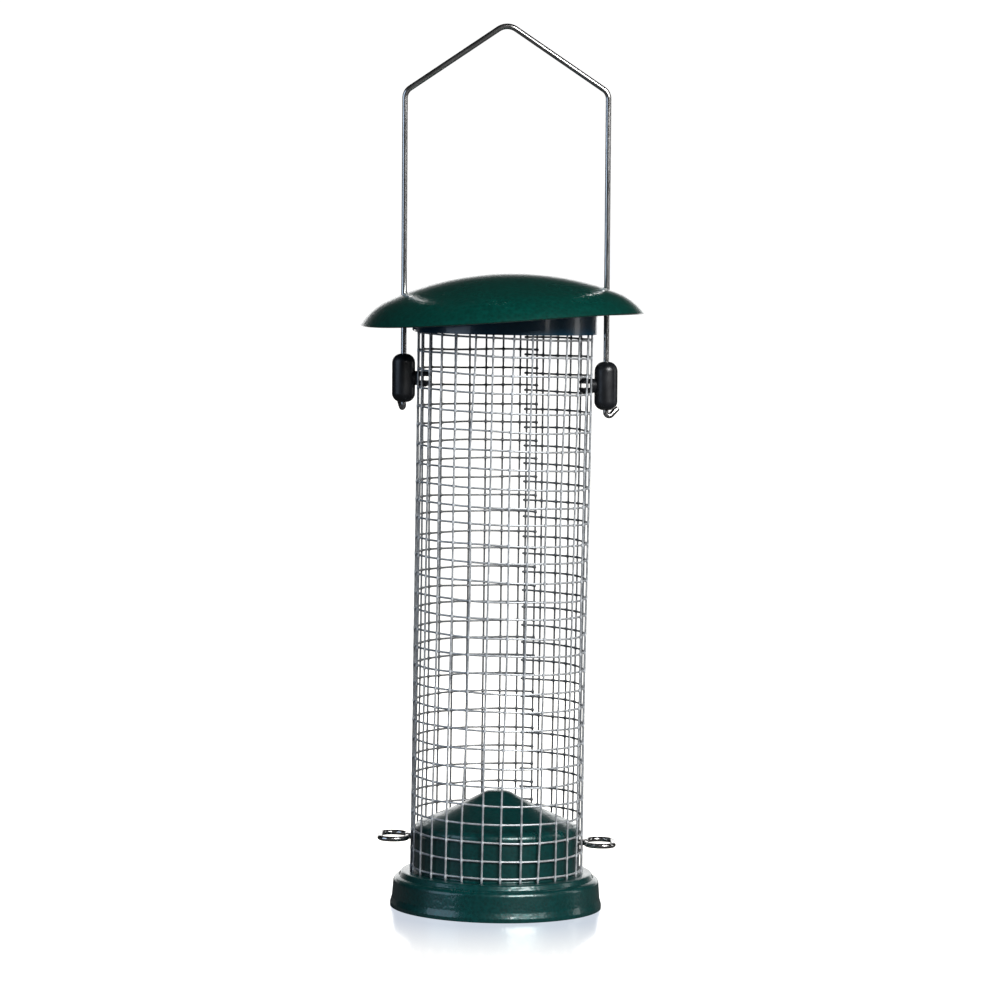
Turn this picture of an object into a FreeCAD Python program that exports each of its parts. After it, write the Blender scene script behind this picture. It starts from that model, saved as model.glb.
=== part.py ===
"""Hanging wire-mesh bird feeder, in millimetres.

The origin is the centre of the ring that the feeder stands on, +Z is up, +X is the
right-hand perch and -Y is the front. Azimuths are counted from the front towards +X.
"""
import FreeCAD, Part
import math
import os

from FreeCAD import Vector

os.makedirs("parts", exist_ok=True)

# Driving dimensions
sheet = 0.8                     # pressed steel of the base, the collar and the roof

# Base: one pressing with a skirt, a ledge for the mesh and a coned boss inside it
skirt_overhang = 6.25           # from the mesh to the outside of the skirt at its foot
skirt_draft = 0.5               # how much narrower the skirt is at its top
skirt_height = 9.9
lip_height = 1.3
lip_proud = 0.6                 # how far the rolled lip stands out of the skirt
shelf_overhang = 3.95           # from the mesh to the foot of the step that carries it
shelf_rise = 0.7
step_width = 0.9
step_rise = 1.8
boss_gap = 1.45                 # from the mesh to the boss wall inside it
boss_height = 16.2              # straight wall of the boss above the ledge
cone_knee_radius = 14.0
cone_knee_rise = 6.6
cone_tip_radius = 3.6
cone_tip_rise = 5.7
lip_bend = 0.6
lip_root_bend = 0.5
shoulder_round = 2.0            # outside bends, from the skirt's shoulder up to the cone's tip
shelf_bend = 0.5
step_round = 0.9
ledge_bend = 0.5
boss_round = 2.4
cone_knee_bend = 14.0
cone_tip_round = 8.0
least_bend = 0.2                # tightest inside bend that the sheet takes

# Mesh: one welded sheet rolled into a tube, uprights outside, hoops inside
tube_radius = 30.25             # centre line of the upright wires
mesh_wire = 0.7
weld_sink = 0.07                # how far crossing wires melt into each other
weld_flattening = 0.01          # how much thinner a hoop's radius is left in the direction of the weld
row_pitch = 6.44
row_count = 31
first_row_gap = 1.1             # from the ledge to the lowest hoop
ledge_gap = 0.1
front_cells = 14                # cells between the two plugs, round the front
right_back_cells = 6
left_back_cells = 9
lap_deg = 7.0                   # how far the sheet's two edges overlap
lap_step = 1.8                  # the right edge sits this much lower than the left
row_slope_low = 0.4             # height of a hoop's left side over its right, lowest row
row_slope_high = 1.6            # the same, from the row in slope_row upwards
slope_row = 15

# Collar: a strip bent round the top of the mesh, its ends lapped on the left
collar_gap = 0.5
collar_height = 9.4
collar_bottom_row = 29.15       # counted in rows above the lowest hoop
collar_lip = 1.9                # width of the top edge turned in over the wire ends
collar_lap_deg = 18.0
collar_lap_notch = 0.7

# Bail: one bent wire, its two legs held in the pivot plugs
bail_wire = 2.0
bail_top = 308.4
bail_lean_deg = 0.6             # the bail stands this much to the left of the tube
bail_slope_deg = 34.0
shoulder_bend = 4.0
apex_bend = 5.5
hook_bend = 1.2
hook_tail = 3.0
hook_gap = 0.7                  # below the plug, before the wire turns
hook_turn_deg = 135.0           # how far the wire turns back up under the plug
left_tail_azimuth_deg = 159.3   # which way each hook points, seen from above
right_tail_azimuth_deg = 106.4
bore_clearance = 0.1

# Pivot plugs: a capsule on the leg, and a split snap head through one mesh cell
plug_row = 26.5
plug_stand_off = 0.64           # from the mesh to the capsule
plug_radius = 4.06
plug_length = 16.9
plug_end_round = 3.3
stem_clearance = 0.37           # from the stem to the hoops above and below it
barb_grip = 0.5                 # how far the barb stands out of the stem
barb_clearance = 0.75           # from the mesh to the back of the barb
barb_land = 1.1
barb_length = 2.9
barb_tip_radius = 1.3
slot_width = 1.5
slot_depth = 4.0

# Roof: a pressed dome that slides on the bail and hangs a little askew
crown_radius = 112.0
crown_overhang = 6.2            # from the bail's legs to where the brow starts
brow_radius = 16.0
brow_end_deg = 60.0
roof_rim_above_collar = 4.8     # from the collar's bottom edge to the middle of the rim
roof_tilt_deg = 3.3
roof_shift = -1.2
roof_hole_clearance = 0.5

# Perches: two wire eyes, pushed through the mesh and the boss and splayed inside
perch_wire = 1.8
perch_row = 1.55
perch_drop = 0.6                # the left perch sits this much high, the right one low
perch_reach = 11.2              # from the mesh to the outside of the loop
perch_half_width = 8.3
perch_stand_off = 0.15          # from the mesh to the near side of the loop
perch_leg_gap = 0.1
perch_outer_bend = 4.2
perch_inner_bend = 4.9
perch_neck_bend = 1.4
perch_splay = 2.2
perch_inside = 5.0
perch_splay_bend = 3.0
perch_splay_gap = 1.0           # from the inside of the boss wall to where the ends spread
perch_hole_clearance = 0.3

# Derived places
up = Vector(0, 0, 1)
base_radius = tube_radius + skirt_overhang
shelf_radius = tube_radius + shelf_overhang
ledge_radius_out = shelf_radius - step_width
shelf_z = skirt_height + shelf_rise
ledge_z = shelf_z + step_rise
boss_radius = tube_radius - boss_gap
boss_z = ledge_z + boss_height
knee_z = boss_z + cone_knee_rise
tip_z = knee_z + cone_tip_rise
hoop_radius = tube_radius - mesh_wire + weld_sink
row_base = ledge_z + first_row_gap
mesh_outside = tube_radius + mesh_wire / 2
mesh_inside = hoop_radius - mesh_wire / 2
collar_z = row_base + collar_bottom_row * row_pitch
collar_top = collar_z + collar_height
collar_inside = mesh_outside + collar_gap
collar_outside = collar_inside + sheet
plug_z = row_base + plug_row * row_pitch
plug_drop = row_slope_high / 2
stem_radius = (row_pitch - mesh_wire) / 2 - stem_clearance
barb_radius = stem_radius + barb_grip
leg_x = mesh_outside + plug_stand_off + plug_radius
crown_reach = leg_x + crown_overhang
rim_z = collar_z + roof_rim_above_collar
perch_z = row_base + perch_row * row_pitch


def turn(points, radii):
    """Edges of a polyline whose inner corners are rounded by tangent arcs."""
    edges = []
    last = points[0]
    for corner, after, before, radius in zip(points[1:-1], points[2:], points[:-2], radii):
        back = (before - corner).normalize()
        ahead = (after - corner).normalize()
        if radius <= 0:
            edges.append(Part.LineSegment(last, corner).toShape())
            last = corner
            continue
        half = back.getAngle(ahead) / 2
        reach = radius / math.tan(half)
        middle = corner + (back + ahead).normalize() * (radius / math.sin(half) - radius)
        start = corner + back * reach
        end = corner + ahead * reach
        if (start - last).Length > 1e-6:
            edges.append(Part.LineSegment(last, start).toShape())
        edges.append(Part.Arc(start, middle, end).toShape())
        last = end
    edges.append(Part.LineSegment(last, points[-1]).toShape())
    return edges


def sweep(edges, radius, flattened=0.0):
    """A wire along a chain of tangent edges, round or pressed a little flatter sideways."""
    path = Part.Wire(edges)
    first = edges[0]
    start = first.valueAt(first.FirstParameter)
    along = first.tangentAt(first.FirstParameter)
    outline = Part.makeCircle(radius, start, along)
    if flattened:
        sideways = along.cross(up).normalize()
        outline = Part.Ellipse(start + up * radius, start + sideways * (radius - flattened), start).toShape()
    return path.makePipeShell([Part.Wire(outline)], True, False)


def spin(outline):
    """Solid of revolution about Z from a closed outline in the XZ plane."""
    return Part.Face(outline).revolve(Vector(0, 0, 0), up, 360)


def ring(inner, outer, low, high):
    """Plain upright ring."""
    return Part.makeCylinder(outer, high - low, Vector(0, 0, low)).cut(
        Part.makeCylinder(inner, high - low, Vector(0, 0, low)))


def offset(points, distance):
    """The polyline moved sideways by a distance, with mitred corners."""
    moved = []
    for i, point in enumerate(points):
        sides = []
        for a, b in ((i - 1, i), (i, i + 1)):
            if 0 <= a and b < len(points):
                way = (points[b] - points[a]).normalize()
                sides.append(Vector(-way.z, 0, way.x))
        normal = sides[0] if len(sides) == 1 else (sides[0] + sides[1]).normalize()
        moved.append(point + normal * (distance / normal.dot(sides[0])))
    return moved


def place(radius, azimuth_deg, z):
    """A point at a radius and an azimuth counted from the front towards +X."""
    azimuth = math.radians(azimuth_deg)
    return Vector(radius * math.sin(azimuth), -radius * math.cos(azimuth), z)


def base_tray():
    """Skirt, step, ledge, boss wall and cone, one sheet thick and open below."""
    skirt = [
        Vector(base_radius, 0, 0),
        Vector(base_radius - skirt_draft, 0, skirt_height),
        Vector(shelf_radius, 0, shelf_z),
        Vector(ledge_radius_out, 0, ledge_z),
        Vector(boss_radius, 0, ledge_z),
        Vector(boss_radius, 0, boss_z),
        Vector(cone_knee_radius, 0, knee_z),
        Vector(cone_tip_radius, 0, tip_z),
        Vector(0, 0, tip_z),
    ]
    # The sign is the side that bulges: outer corners lose a sheet on the inside.
    bends = [shoulder_round, -shelf_bend, step_round, -ledge_bend, boss_round, -cone_knee_bend, cone_tip_round]
    lip = [
        Vector(base_radius + lip_proud, 0, 0),
        Vector(base_radius + lip_proud, 0, lip_height),
        Vector(base_radius, 0, lip_height + lip_proud),
    ]
    outer = turn(lip + skirt[1:], [lip_bend, lip_root_bend] + [abs(bend) for bend in bends])
    under = offset(skirt, sheet)
    under[0].z = 0
    under[-1].x = 0
    inner = turn(under, [max(least_bend, abs(bend) + (sheet if bend < 0 else -sheet)) for bend in bends])
    closing = [Part.LineSegment(skirt[-1], under[-1]).toShape(),
               Part.LineSegment(under[0], lip[0]).toShape()]
    tray = spin(Part.Wire(Part.__sortEdges__(outer + inner + closing)))
    for side in (-1, 1):
        tray = tray.cut(perch_slot(side))
    return tray


def perch_slot(side):
    """Cutter for the oblong hole in the boss wall that takes both perch legs."""
    half_height = perch_wire / 2 + perch_hole_clearance
    half_width = perch_wire + perch_leg_gap / 2 + perch_hole_clearance
    flat = half_width - half_height
    z = perch_z - side * perch_drop
    reach = 6 * sheet           # well through the wall on both sides
    x = side * (boss_radius - sheet / 2) - reach / 2
    cutter = Part.makeBox(reach, 2 * flat, 2 * half_height, Vector(x, -flat, z - half_height))
    for y in (-flat, flat):
        cutter = cutter.fuse(Part.makeCylinder(half_height, reach, Vector(x, y, z), Vector(1, 0, 0)))
    return cutter


def upright_azimuths():
    """Every upright from the sheet's right-hand edge round the front to its left-hand edge."""
    front_pitch = 180.0 / front_cells
    side = 90 + front_pitch / 2
    front = [side - front_pitch * i for i in range(front_cells + 2)]
    span = 360 + lap_deg - 2 * side
    back_pitch = span / (right_back_cells + left_back_cells)
    right = [side + back_pitch * i for i in range(right_back_cells, 0, -1)]
    left = [-side - back_pitch * i for i in range(1, left_back_cells + 1)]
    return right + front + left


def mesh_upright_wires():
    low = ledge_z + ledge_gap
    high = collar_top - sheet - ledge_gap
    return Part.makeCompound([
        Part.makeCylinder(mesh_wire / 2, high - low, place(tube_radius, azimuth, low))
        for azimuth in upright_azimuths()])


def tangent_arc(start, way, end):
    """The arc that leaves a point along a unit direction and ends at another point."""
    chord = end - start
    across = chord - way * chord.dot(way)
    radius = chord.dot(chord) / (2 * across.Length)
    centre = start + across.normalize() * radius
    middle = centre + (start + end - centre * 2).normalize() * radius
    return Part.Arc(start, middle, end)


def hoop_wire(row, ends):
    """One hoop: a front half tilted to the right, and a back part on each side.

    The right back part drops into the seam and the left one rises.
    """
    rise = (row_slope_low + (row_slope_high - row_slope_low) * min(row / slope_row, 1)) / 2
    half_width = math.sqrt(hoop_radius ** 2 - rise ** 2)
    z = row_base + row * row_pitch
    back = Vector(0, 1, 0)
    sides = {}
    for side, azimuth in ends.items():
        end = place(hoop_radius, azimuth, z)
        share = abs(end.x) / hoop_radius
        end.z -= side * (rise * share * math.copysign(1, side * end.x) + lap_step / 2 * (1 - share))
        start = Vector(side * half_width, 0, z - side * rise)
        sides[side] = start, tangent_arc(start, back, end)
    front = Part.Arc(sides[1][0], Vector(0, -hoop_radius, z), sides[-1][0])
    right = sides[1][1].toShape().reversed()
    return sweep([right, front.toShape(), sides[-1][1].toShape()], mesh_wire / 2, weld_flattening)


def mesh_hoop_wires():
    """The hoops inside the uprights, each end a little past its last upright."""
    edge = math.degrees(mesh_wire / tube_radius)
    azimuths = upright_azimuths()
    ends = {1: azimuths[0] + edge, -1: azimuths[-1] - edge}
    return Part.makeCompound([hoop_wire(row, ends) for row in range(row_count)])


def collar_band():
    """The strip, its turned-in top edge, and the end that laps over it on the left."""
    band = ring(collar_inside, collar_outside, collar_z, collar_top)
    lip = ring(collar_outside - collar_lip - sheet, collar_outside, collar_top - sheet, collar_top)
    lap = ring(collar_outside, collar_outside + sheet, collar_z + collar_lap_notch, collar_top)
    wedge_reach = 2 * collar_outside
    corners = [Vector(0, 0, 0)]
    corners += [place(wedge_reach, -90 + turn_deg, 0) for turn_deg in (-collar_lap_deg / 2, collar_lap_deg / 2)]
    wedge = Part.Face(Part.makePolygon(corners + [corners[0]])).extrude(up * 2 * collar_top)
    return band.fuse([lip, lap.common(wedge)]).removeSplitter()


def perch_ring(side):
    """A flat wire eye: a round loop outside, two legs side by side, ends splayed apart."""
    leg = (perch_wire + perch_leg_gap) / 2
    near = mesh_outside + perch_stand_off + perch_wire / 2
    far = mesh_outside + perch_reach - perch_wire / 2
    bend_start = boss_radius - sheet - perch_splay_gap
    half = [
        (bend_start - perch_inside, leg + perch_splay),
        (bend_start, leg),
        (near, leg),
        (near, perch_half_width),
        (far, perch_half_width),
    ]
    z = perch_z - side * perch_drop
    outline = half + [(x, -y) for x, y in reversed(half)]
    points = [Vector(side * x, side * y, z) for x, y in outline]
    bends = [perch_splay_bend, perch_neck_bend, perch_inner_bend, perch_outer_bend]
    return sweep(turn(points, bends + bends[::-1]), perch_wire / 2)


def plug_height(side):
    return plug_z - side * plug_drop


def lean(shape):
    """The shape leaned to the left about the middle of the pivot, as the bail stands."""
    return shape.rotate(Vector(0, 0, plug_z), Vector(0, 1, 0), -bail_lean_deg)


def bail():
    """Hook, leg, shoulder and slope, up to the apex, and down the other side."""
    slope = math.radians(bail_slope_deg)
    apex_z = bail_top - bail_wire / 2 + apex_bend * (1 / math.cos(slope) - 1)
    shoulder_z = apex_z - leg_x * math.tan(slope)
    hook_turn = hook_bend * math.tan(math.radians(hook_turn_deg / 2))
    tail_rise = -math.cos(math.radians(hook_turn_deg))
    tails = {-1: place(tail_rise, -left_tail_azimuth_deg, tail_rise),
             1: place(tail_rise, right_tail_azimuth_deg, tail_rise)}
    lean_drop = leg_x * math.sin(math.radians(bail_lean_deg))
    halves = {}
    for side in (-1, 1):
        hook_z = plug_height(side) - side * lean_drop - plug_length / 2 - hook_gap - hook_turn
        foot = Vector(side * leg_x, 0, hook_z)
        tail = foot + tails[side].normalize() * (hook_turn + hook_tail)
        halves[side] = [tail, foot, Vector(side * leg_x, 0, shoulder_z)]
    points = halves[-1] + [Vector(0, 0, apex_z)] + halves[1][::-1]
    bends = [hook_bend, shoulder_bend, apex_bend, shoulder_bend, hook_bend]
    return lean(sweep(turn(points, bends), bail_wire / 2))


def pivot_plug(side):
    """Capsule bored for the leg, with a stem that ends in a split barb."""
    half = plug_length / 2
    outline = [Vector(0, 0, -half), Vector(plug_radius, 0, -half),
               Vector(plug_radius, 0, half), Vector(0, 0, half)]
    edges = turn(outline, [plug_end_round, plug_end_round])
    edges.append(Part.LineSegment(outline[-1], outline[0]).toShape())
    capsule = spin(Part.Wire(edges))
    bore = Part.makeCylinder(bail_wire / 2 + bore_clearance, 2 * plug_length, Vector(0, 0, -plug_length))
    for round_part in (capsule, bore):
        round_part.rotate(Vector(0, 0, 0), Vector(0, 1, 0), -side * bail_lean_deg)
        round_part.translate(Vector(leg_x, 0, 0))
    barb_back = mesh_inside - barb_clearance
    tip = barb_back - barb_length
    stem = Part.makeCylinder(stem_radius, leg_x - barb_back, Vector(barb_back, 0, 0), Vector(1, 0, 0))
    land = Part.makeCylinder(barb_radius, barb_land, Vector(barb_back - barb_land, 0, 0), Vector(1, 0, 0))
    nose = Part.makeCone(barb_tip_radius, barb_radius, barb_length - barb_land,
                         Vector(tip, 0, 0), Vector(1, 0, 0))
    slot = Part.makeBox(slot_depth, 4 * barb_radius, slot_width,
                        Vector(tip, -2 * barb_radius, -slot_width / 2))
    plug = capsule.fuse([stem, land, nose]).cut(slot).cut(bore).removeSplitter()
    if side < 0:
        plug = plug.mirror(Vector(0, 0, 0), Vector(1, 0, 0))
    return plug.translate(Vector(0, 0, plug_height(side)))


def dome_edges(skin):
    """Crown and brow arcs of the dome, skin deep below its outside; crown at z = 0."""
    crown = crown_radius - skin
    brow = brow_radius - skin
    join = math.asin(crown_reach / crown_radius)
    end = math.radians(brow_end_deg)
    centre = Vector(0, 0, -crown_radius)
    brow_centre = centre + Vector(math.sin(join), 0, math.cos(join)) * (crown_radius - brow_radius)

    def on_arc(middle, radius, angle):
        return middle + Vector(math.sin(angle), 0, math.cos(angle)) * radius

    return [
        Part.Arc(on_arc(centre, crown, 0), on_arc(centre, crown, join / 2),
                 on_arc(centre, crown, join)).toShape(),
        Part.Arc(on_arc(brow_centre, brow, join), on_arc(brow_centre, brow, (join + end) / 2),
                 on_arc(brow_centre, brow, end)).toShape(),
    ]


def roof():
    """The dome with its two wire holes, tilted about the middle of its rim."""
    outside = dome_edges(0)
    inside = dome_edges(sheet)
    rim_out = outside[1].valueAt(outside[1].LastParameter)
    rim_in = inside[1].valueAt(inside[1].LastParameter)
    section = outside + inside + [
        Part.LineSegment(rim_out, rim_in).toShape(),
        Part.LineSegment(Vector(0, 0, 0), Vector(0, 0, -sheet)).toShape(),
    ]
    dome = spin(Part.Wire(Part.__sortEdges__(section)))
    dome.translate(Vector(0, 0, -(rim_out.z + rim_in.z) / 2))
    dome.rotate(Vector(0, 0, 0), Vector(0, 1, 0), -roof_tilt_deg)
    dome.translate(Vector(roof_shift, 0, rim_z))
    hole_radius = bail_wire / 2 + roof_hole_clearance
    for side in (-1, 1):
        hole = Part.makeCylinder(hole_radius, 4 * brow_radius, Vector(side * leg_x, 0, rim_z))
        dome = dome.cut(lean(hole))
    return dome


nodes = {
    "base_tray": base_tray(),
    "mesh_upright_wires": mesh_upright_wires(),
    "mesh_hoop_wires": mesh_hoop_wires(),
    "collar_band": collar_band(),
    "perch_ring_left": perch_ring(-1),
    "perch_ring_right": perch_ring(1),
    "bail_wire": bail(),
    "pivot_plug_left": pivot_plug(-1),
    "pivot_plug_right": pivot_plug(1),
    "roof": roof(),
}

for name, shape in nodes.items():
    shape.exportStep(f"parts/{name}.step")
    box = shape.BoundBox
    corners = (box.XMin, box.XMax, box.YMin, box.YMax, box.ZMin, box.ZMax)
    print(name, len(shape.Solids), "solids", shape.isValid(), [round(edge, 2) for edge in corners])
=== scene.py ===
"""Looks of a hanging wire-mesh bird feeder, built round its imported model.

Every size is in metres, in the model's own frame: the origin is the middle of the ring that the
feeder stands on, +Z is up, +X is the right-hand perch and -Y is the front. Azimuths are counted
from the front towards +X.
"""

import math

import bmesh
import bpy
import numpy as np
from bpy.props import FloatProperty, FloatVectorProperty, IntProperty, PointerProperty
from mathutils import Matrix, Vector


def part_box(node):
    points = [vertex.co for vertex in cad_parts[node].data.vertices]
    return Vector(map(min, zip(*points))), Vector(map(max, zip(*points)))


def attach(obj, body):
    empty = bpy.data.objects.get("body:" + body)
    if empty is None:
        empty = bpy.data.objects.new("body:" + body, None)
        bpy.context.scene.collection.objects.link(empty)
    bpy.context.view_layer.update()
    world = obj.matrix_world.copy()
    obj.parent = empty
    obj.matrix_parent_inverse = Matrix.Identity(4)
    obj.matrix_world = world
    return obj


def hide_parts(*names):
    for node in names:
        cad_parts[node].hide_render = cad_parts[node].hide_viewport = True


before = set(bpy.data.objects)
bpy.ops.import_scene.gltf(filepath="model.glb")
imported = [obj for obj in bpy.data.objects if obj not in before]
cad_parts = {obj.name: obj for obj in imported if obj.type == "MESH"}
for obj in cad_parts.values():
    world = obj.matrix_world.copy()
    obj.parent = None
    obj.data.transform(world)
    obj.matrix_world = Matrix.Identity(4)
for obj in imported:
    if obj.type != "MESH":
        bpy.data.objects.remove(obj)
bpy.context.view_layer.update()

bl_info = {
    "name": "Hanging bird feeder",
    "version": (1, 0, 0),
    "blender": (4, 5, 0),
    "location": "3D View > Sidebar > Feeder",
    "description": "Builds the enamelled, wire-mesh and plastic pieces of a hanging bird feeder",
    "category": "Object",
}

MM = 0.001
TAU = 2 * math.pi
UP = np.array([0.0, 0.0, 1.0])
ACROSS = np.array([1.0, 0.0, 0.0])
BACK = np.array([0.0, 1.0, 0.0])
SIDES = {"left": -1, "right": 1}

BASE_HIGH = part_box("base_tray")[1]
MESH_LOW, MESH_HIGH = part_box("mesh_upright_wires")
COLLAR_LOW, COLLAR_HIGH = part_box("collar_band")
ROOF_LOW, ROOF_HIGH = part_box("roof")
PLUGS = {side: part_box("pivot_plug_" + side) for side in SIDES}
PERCHES = {side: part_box("perch_ring_" + side) for side in SIDES}


# Sizes and colours


def length(description, default):
    """A size in metres."""
    return FloatProperty(description=description, default=default, unit="LENGTH", precision=5)


def angle(description, degrees):
    """An angle, given here in degrees."""
    return FloatProperty(description=description, default=math.radians(degrees), unit="ROTATION")


def number(description, default):
    """A plain number."""
    return FloatProperty(description=description, default=default)


def whole(description, default):
    """A whole number."""
    return IntProperty(description=description, default=default)


def colour(description, default):
    """A linear colour."""
    return FloatVectorProperty(description=description, default=default, subtype="COLOR",
                               size=3, min=0, max=1)


class BaseSizes(bpy.types.PropertyGroup):
    sheet: length("Thickness of the pressed steel", 0.8 * MM)
    skirt_radius: length("Outside of the skirt at its foot", 36.5 * MM)
    skirt_draft: length("How much narrower the skirt is at its top", 0.5 * MM)
    skirt_height: length("Height of the skirt's shoulder", 9.9 * MM)
    lip_height: length("Height of the rolled foot", 1.3 * MM)
    lip_flare: length("Height over which the skirt widens into the lip", 2.0 * MM)
    shelf_radius: length("Foot of the step that carries the mesh", 34.2 * MM)
    shelf_rise: length("Rise of the shelf from the shoulder to the step", 0.7 * MM)
    step_width: length("How far the step leans in", 0.9 * MM)
    step_rise: length("Height of the step", 1.8 * MM)
    boss_radius: length("Outside of the boss wall inside the mesh", 28.8 * MM)
    boss_height: length("Straight wall of the boss above the ledge", 16.2 * MM)
    knee_radius: length("Where the cone steepens", 14.0 * MM)
    knee_rise: length("Height of the knee above the boss wall", 6.6 * MM)
    tip_radius: length("Flat tip of the cone", 3.6 * MM)


class MeshSizes(bpy.types.PropertyGroup):
    wire: length("Diameter of the mesh wire", 0.7 * MM)
    weld_sink: length("How far crossing wires melt into each other", 0.07 * MM)
    weld_swell: number("Extra thickness at a weld, as a share of the wire", 0.3)
    weld_reach: length("Half length of the swelling along the wire", 0.55 * MM)
    row_pitch: length("Height from hoop to hoop", 6.44 * MM)
    rows: whole("Number of hoops", 31)
    first_row: length("Height of the lowest hoop above the wire ends", 1.0 * MM)
    front_cells: whole("Cells between the plugs, round the front", 14)
    right_cells: whole("Cells from the right plug to the seam", 6)
    left_cells: whole("Cells from the left plug to the seam", 9)
    lap: angle("How far the two edges of the sheet overlap", 7.0)
    lap_step: length("How much lower the right edge sits than the left", 1.8 * MM)
    slope_low: length("Height of a hoop's left side over its right in the lowest row", 0.4 * MM)
    slope_high: length("The same from the middle rows upwards", 1.6 * MM)
    slope_row: whole("Row from which the slope stays the same", 15)
    twist_low: angle("Turn of the wires at the bottom", -3.4)
    twist_high: angle("Turn of the wires at the top", -1.0)
    flare: length("How much the tube widens towards the collar", 0.25 * MM)
    row_unevenness: length("Typical error in a row's height", 0.22 * MM)
    wire_waviness: angle("Typical sideways sway of an upright", 0.55)


class CollarSizes(bpy.types.PropertyGroup):
    sheet: length("Thickness of the strip", 0.8 * MM)
    lip: length("Width of the top edge turned in over the wire ends", 1.9 * MM)
    bend: length("Outside radius of the bend into the lip", 1.2 * MM)
    lap: angle("How far the strip's ends overlap", 18.0)
    lap_notch: length("How much higher the free end's lower corner sits", 0.7 * MM)


class PerchSizes(bpy.types.PropertyGroup):
    wire: length("Diameter of the perch wire", 1.8 * MM)
    leg_gap: length("Gap between the two legs", 0.1 * MM)
    stand_off: length("From the mesh to the near side of the loop", 0.15 * MM)
    outer_bend: length("Bend of the loop's outer corners", 4.2 * MM)
    inner_bend: length("Bend of the loop's inner corners", 4.9 * MM)
    neck_bend: length("Bend from the legs into the loop", 1.4 * MM)
    splay: length("How far each end spreads inside the boss", 2.2 * MM)
    splay_bend: length("Bend from a leg into its spread end", 3.0 * MM)
    splay_gap: length("From the boss wall to where the ends spread", 1.0 * MM)
    splay_reach: length("How far the spread ends run inwards", 5.0 * MM)
    hole_clearance: length("Gap round the legs in the boss wall", 0.3 * MM)


class BailSizes(bpy.types.PropertyGroup):
    wire: length("Diameter of the bail wire", 2.0 * MM)
    top: length("Height of the apex before the bail leans", 308.4 * MM)
    spread: length("Between the centre lines of the legs", 70.6 * MM)
    lean: angle("How far the bail stands to the left of the tube", 0.6)
    slope: angle("Slope of the two upper runs", 34.0)
    shoulder_bend: length("Bend from a leg into a slope", 4.0 * MM)
    apex_bend: length("Bend at the top", 5.5 * MM)
    hook_bend: length("Bend under the plug", 1.2 * MM)
    hook_turn: angle("How far the wire turns back up under the plug", 135.0)
    hook_tail: length("Straight end of the wire after the hook", 3.0 * MM)
    hook_gap: length("From the plug to the hook's bend", 0.7 * MM)


class PlugSizes(bpy.types.PropertyGroup):
    radius: length("Radius of the capsule", 4.06 * MM)
    end_round: length("Rounding of the capsule's ends", 3.3 * MM)
    end_difference: length("How much tighter the lower end is rounded", 0.2 * MM)
    bore_clearance: length("Gap round the leg in its bore", 0.1 * MM)
    root_wall: length("Plastic between the bore and the stem's root", 0.6 * MM)
    stem_radius: length("Radius of the stem that goes through the mesh", 2.5 * MM)
    barb_radius: length("Radius of the snap head inside the mesh", 3.0 * MM)
    barb_land: length("Straight part of the snap head", 1.1 * MM)
    barb_length: length("Length of the snap head", 2.9 * MM)
    tip_radius: length("Radius of the snap head's flat end", 1.3 * MM)
    slot_width: length("Width of the split", 1.5 * MM)
    slot_depth: length("Depth of the split", 4.0 * MM)


class RoofSizes(bpy.types.PropertyGroup):
    sheet: length("Thickness of the pressed steel", 0.8 * MM)
    crown_radius: length("Radius of the dome's crown", 104.0 * MM)
    crown_reach: length("Where the crown turns into the brow", 39.8 * MM)
    brow_radius: length("Radius of the turned-down edge", 22.0 * MM)
    brow_end: angle("Slope at the very edge", 55.0)
    edge_round: length("How far the rounded edge stands out of the cut sheet", 0.15 * MM)
    tilt: angle("How much lower the left side hangs", 3.3)
    twist: length("How far the front edge is bent out of plane, each way", 0.7 * MM)
    shift: length("How far the roof sits to the right of the tube", -1.2 * MM)
    rim_height: length("Height of the middle of the rim", 206.03 * MM)
    hole_clearance: length("Gap round the bail in the roof's holes", 0.5 * MM)


class FinishColours(bpy.types.PropertyGroup):
    roof_green: colour("Hammered enamel of the roof", (0.0004, 0.047, 0.036))
    base_green: colour("Hammered enamel of the base", (0.0010, 0.040, 0.038))
    collar_blue: colour("Smooth enamel of the collar", (0.0005, 0.044, 0.088))
    galvanised: colour("Zinc on the mesh", (0.50, 0.52, 0.54))
    bright: colour("Drawn steel of the bail and the perches", (0.46, 0.455, 0.45))
    plastic: colour("Moulded pivot plugs", (0.006, 0.007, 0.009))


class StudioSettings(bpy.types.PropertyGroup):
    camera_distance: length("From the camera to the tube's axis", 1400 * MM)
    camera_height: length("Height of the camera above the floor", 235.6 * MM)
    camera_pitch: angle("How far the camera looks down", 3.79)
    camera_roll: angle("How far the camera leans", 1.02)
    camera_side: length("How far the camera stands to the right", -0.93 * MM)
    lens: number("Focal length in millimetres", 144.6)
    sensor: number("Width of the camera's sensor in millimetres", 36.0)


GROUPS = {
    "feeder_base": BaseSizes,
    "feeder_mesh": MeshSizes,
    "feeder_collar": CollarSizes,
    "feeder_perches": PerchSizes,
    "feeder_bail": BailSizes,
    "feeder_plugs": PlugSizes,
    "feeder_roof": RoofSizes,
    "feeder_colours": FinishColours,
    "feeder_studio": StudioSettings,
}


# Shapes as arrays


def unit(vectors):
    """Vectors divided by their lengths."""
    return vectors / np.linalg.norm(vectors, axis=-1, keepdims=True)


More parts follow.
